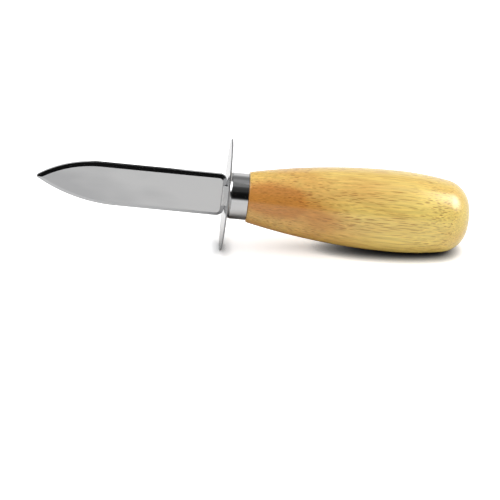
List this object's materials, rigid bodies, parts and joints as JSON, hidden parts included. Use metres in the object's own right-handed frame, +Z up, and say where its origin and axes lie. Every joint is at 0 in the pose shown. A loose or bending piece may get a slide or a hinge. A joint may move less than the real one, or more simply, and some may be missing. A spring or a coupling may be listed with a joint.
{
  "type": "oyster knife",
  "caption": "Oyster knife with a stiff bevelled blade, a flat oval hand guard, a polished ferrule and a turned barrel handle of lacquered wood, for prying open shellfish.",
  "frame": {"origin": "bottom centre of the bounding box, on the surface that the knife lies on, edge of the guard and belly of the handle down", "axes": "+X towards the butt of the handle, -X towards the tip of the blade, +Z up on the spine's side, Y across the flat of the blade; the knife's own axis dips towards the butt by about 5.4 degrees because it lies on its guard and belly"},
  "size_m": [0.1928, 0.0372, 0.0518],
  "materials": {
    "blade_steel": "fine satin with polished bevels",
    "guard_steel": "polished",
    "ferrule_steel": "mirror polished",
    "handle_wood": "clear gloss lacquer over open-pored honey-coloured hardwood",
    "cement": "set resin cement"
  },
  "bodies": {
    "root": {"blade": "blade_steel", "guard": "guard_steel", "ferrule": "ferrule_steel", "handle": "handle_wood", "tang_cement": "cement"}
  },
  "joints": []
}
